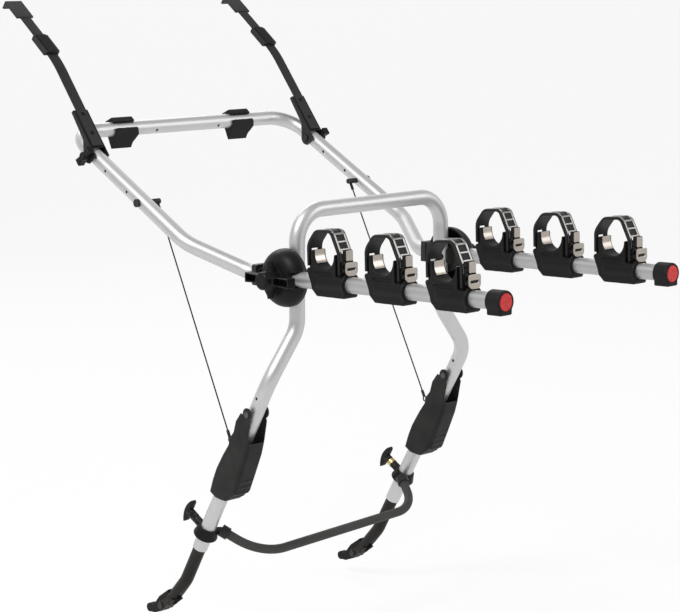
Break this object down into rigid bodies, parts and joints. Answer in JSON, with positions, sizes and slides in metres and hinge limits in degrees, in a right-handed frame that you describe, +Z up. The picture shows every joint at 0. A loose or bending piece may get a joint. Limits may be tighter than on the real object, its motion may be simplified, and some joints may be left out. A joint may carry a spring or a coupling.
{
  "type": "trunk mounted bike rack",
  "caption": "Folding bicycle rack for a car's trunk lid: tube frames on knob-locked hubs, two arms with strap cradles, lid hooks, tension levers and hooked feet.",
  "frame": {"origin": "midway between the two pads' faces, where the rack rests on the trunk lid", "axes": "+X to the right for someone behind the car, +Y to the car's front, +Z up"},
  "size_m": [0.6558, 1.3133, 1.2156],
  "materials": {
    "silver_tube": "satin anodised",
    "grey_tube": "matt anodised",
    "black_plastic": "fine moulded grain",
    "charcoal_plastic": "fine moulded grain",
    "zinc_steel": "zinc plated",
    "steel_plate": "satin",
    "band_steel": "black satin paint",
    "black_steel": "black satin paint",
    "cable_steel": "stranded wire in a thin black coat",
    "red_reflector": "clear moulded",
    "bar_rubber": "matt",
    "foot_tube": "dark anodised"
  },
  "bodies": {
    "upper_frame": {"upper_frame_tube": "silver_tube", "crossbar_pad_left": "black_plastic", "crossbar_pad_right": "black_plastic", "hub_plate_left": "black_plastic", "hub_plate_right": "black_plastic", "cable_anchors": "zinc_steel", "hook_pivot_bolts": "zinc_steel"},
    "lower_frame": {"lower_frame_tube": "silver_tube", "hub_axles": "zinc_steel", "hub_saddles": "black_plastic", "cable_eyes": "zinc_steel", "lever_pins": "zinc_steel", "cable_left": "cable_steel", "cable_right": "cable_steel"},
    "bumper": {"bumper_bar": "bar_rubber", "bar_collars": "black_plastic"},
    "bike_arm_left": {"bike_arm_tube_left": "grey_tube", "hub_cover_left": "black_plastic", "arm_cap_left": "black_plastic", "reflector_left": "red_reflector", "cradle_liners_left": "steel_plate", "cradle_base_1_left": "black_plastic", "cradle_base_2_left": "black_plastic", "cradle_base_3_left": "black_plastic"},
    "hub_knob_left": {"hub_knob_left": "black_plastic"},
    "hook_bracket_left": {"hook_bracket_left": "black_steel", "lower_band_left": "band_steel", "slide_sleeve_left": "black_plastic"},
    "hook_knob_left": {"hook_knob_left": "black_plastic"},
    "lid_hook_left": {"lid_hook_left": "band_steel"},
    "cradle_strap_1_left": {"cradle_strap_1_left": "black_plastic"},
    "cradle_strap_2_left": {"cradle_strap_2_left": "black_plastic"},
    "cradle_strap_3_left": {"cradle_strap_3_left": "black_plastic"},
    "tension_lever_left": {"tension_lever_left": "charcoal_plastic"},
    "foot_left": {"foot_left": "foot_tube"},
    "hook_plate_left": {"hook_plate_left": "black_plastic"},
    "clamp_knob_left": {"clamp_knob_left": "black_plastic"},
    "bike_arm_right": {"bike_arm_tube_right": "grey_tube", "hub_cover_right": "black_plastic", "arm_cap_right": "black_plastic", "reflector_right": "red_reflector", "cradle_liners_right": "steel_plate", "cradle_base_1_right": "black_plastic", "cradle_base_2_right": "black_plastic", "cradle_base_3_right": "black_plastic"},
    "hub_knob_right": {"hub_knob_right": "black_plastic"},
    "hook_bracket_right": {"hook_bracket_right": "black_steel", "lower_band_right": "band_steel", "slide_sleeve_right": "black_plastic"},
    "hook_knob_right": {"hook_knob_right": "black_plastic"},
    "lid_hook_right": {"lid_hook_right": "band_steel"},
    "cradle_strap_1_right": {"cradle_strap_1_right": "black_plastic"},
    "cradle_strap_2_right": {"cradle_strap_2_right": "black_plastic"},
    "cradle_strap_3_right": {"cradle_strap_3_right": "black_plastic"},
    "tension_lever_right": {"tension_lever_right": "charcoal_plastic"},
    "foot_right": {"foot_right": "foot_tube"},
    "hook_plate_right": {"hook_plate_right": "black_plastic"},
    "clamp_knob_right": {"clamp_knob_right": "black_plastic"}
  },
  "joints": [
    {"name": "frame_fold", "type": "hinge", "parent": "upper_frame", "child": "lower_frame", "pos_m": [0, -0.57493, -0.22335], "axis": [1, 0, 0], "range_deg": [0, 60], "deforming": ["cable_left", "cable_right"]},
    {"name": "bumper_slide", "type": "slide", "parent": "lower_frame", "child": "bumper", "axis": [0, 0.4939, -0.8695], "range_m": [-0.05, 0.02]},
    {"name": "arm_fold_left", "type": "hinge", "parent": "lower_frame", "child": "bike_arm_left", "pos_m": [-0.226, -0.57493, -0.22335], "axis": [1, 0, 0], "range_deg": [0, 60]},
    {"name": "hub_knob_turn_left", "type": "hinge", "parent": "lower_frame", "child": "hub_knob_left", "pos_m": [-0.268, -0.57493, -0.22335], "axis": [1, 0, 0], "continuous": true},
    {"name": "bracket_swing_left", "type": "hinge", "parent": "upper_frame", "child": "hook_bracket_left", "pos_m": [-0.294, -0.09193, -0.02403], "axis": [1, 0, 0], "range_deg": [-10, 20]},
    {"name": "hook_knob_turn_left", "type": "hinge", "parent": "upper_frame", "child": "hook_knob_left", "pos_m": [-0.32, -0.09193, -0.02403], "axis": [1, 0, 0], "continuous": true},
    {"name": "hook_slide_left", "type": "slide", "parent": "hook_bracket_left", "child": "lid_hook_left", "axis": [0, 0.7997, 0.6004], "range_m": [-0.03, 0.04]},
    {"name": "strap_1_left", "type": "hinge", "parent": "bike_arm_left", "child": "cradle_strap_1_left", "pos_m": [-0.226, -0.65903, -0.19811], "axis": [1, 0, 0], "range_deg": [-40, 0]},
    {"name": "strap_2_left", "type": "hinge", "parent": "bike_arm_left", "child": "cradle_strap_2_left", "pos_m": [-0.226, -0.80892, -0.19235], "axis": [1, 0, 0], "range_deg": [-40, 0]},
    {"name": "strap_3_left", "type": "hinge", "parent": "bike_arm_left", "child": "cradle_strap_3_left", "pos_m": [-0.226, -0.95881, -0.18659], "axis": [1, 0, 0], "range_deg": [-40, 0]},
    {"name": "lever_left", "type": "hinge", "parent": "lower_frame", "child": "tension_lever_left", "pos_m": [-0.267, -0.53888, -0.47983], "axis": [1, 0, 0], "range_deg": [-75, 0]},
    {"name": "foot_slide_left", "type": "slide", "parent": "lower_frame", "child": "foot_left", "axis": [0, 0.4939, -0.8695], "range_m": [-0.015, 0.06]},
    {"name": "hook_plate_turn_left", "type": "hinge", "parent": "foot_left", "child": "hook_plate_left", "pos_m": [-0.267, -0.26177, -0.91701], "axis": [1, 0, 0], "range_deg": [-15, 15]},
    {"name": "clamp_knob_turn_left", "type": "hinge", "parent": "bumper", "child": "clamp_knob_left", "pos_m": [-0.267, -0.3487, -0.71337], "axis": [0, 0.8695, 0.4939], "continuous": true},
    {"name": "arm_fold_right", "type": "hinge", "parent": "lower_frame", "child": "bike_arm_right", "pos_m": [0.226, -0.57493, -0.22335], "axis": [1, 0, 0], "range_deg": [0, 60]},
    {"name": "hub_knob_turn_right", "type": "hinge", "parent": "lower_frame", "child": "hub_knob_right", "pos_m": [0.268, -0.57493, -0.22335], "axis": [1, 0, 0], "continuous": true},
    {"name": "bracket_swing_right", "type": "hinge", "parent": "upper_frame", "child": "hook_bracket_right", "pos_m": [0.294, -0.09193, -0.02403], "axis": [1, 0, 0], "range_deg": [-10, 20]},
    {"name": "hook_knob_turn_right", "type": "hinge", "parent": "upper_frame", "child": "hook_knob_right", "pos_m": [0.32, -0.09193, -0.02403], "axis": [1, 0, 0], "continuous": true},
    {"name": "hook_slide_right", "type": "slide", "parent": "hook_bracket_right", "child": "lid_hook_right", "axis": [0, 0.7997, 0.6004], "range_m": [-0.03, 0.04]},
    {"name": "strap_1_right", "type": "hinge", "parent": "bike_arm_right", "child": "cradle_strap_1_right", "pos_m": [0.226, -0.65903, -0.19811], "axis": [1, 0, 0], "range_deg": [-40, 0]},
    {"name": "strap_2_right", "type": "hinge", "parent": "bike_arm_right", "child": "cradle_strap_2_right", "pos_m": [0.226, -0.80892, -0.19235], "axis": [1, 0, 0], "range_deg": [-40, 0]},
    {"name": "strap_3_right", "type": "hinge", "parent": "bike_arm_right", "child": "cradle_strap_3_right", "pos_m": [0.226, -0.95881, -0.18659], "axis": [1, 0, 0], "range_deg": [-40, 0]},
    {"name": "lever_right", "type": "hinge", "parent": "lower_frame", "child": "tension_lever_right", "pos_m": [0.267, -0.53888, -0.47983], "axis": [1, 0, 0], "range_deg": [-75, 0]},
    {"name": "foot_slide_right", "type": "slide", "parent": "lower_frame", "child": "foot_right", "axis": [0, 0.4939, -0.8695], "range_m": [-0.015, 0.06]},
    {"name": "hook_plate_turn_right", "type": "hinge", "parent": "foot_right", "child": "hook_plate_right", "pos_m": [0.267, -0.26177, -0.91701], "axis": [1, 0, 0], "range_deg": [-15, 15]},
    {"name": "clamp_knob_turn_right", "type": "hinge", "parent": "bumper", "child": "clamp_knob_right", "pos_m": [0.267, -0.36056, -0.6925], "axis": [0, 0.8695, 0.4939], "continuous": true}
  ]
}
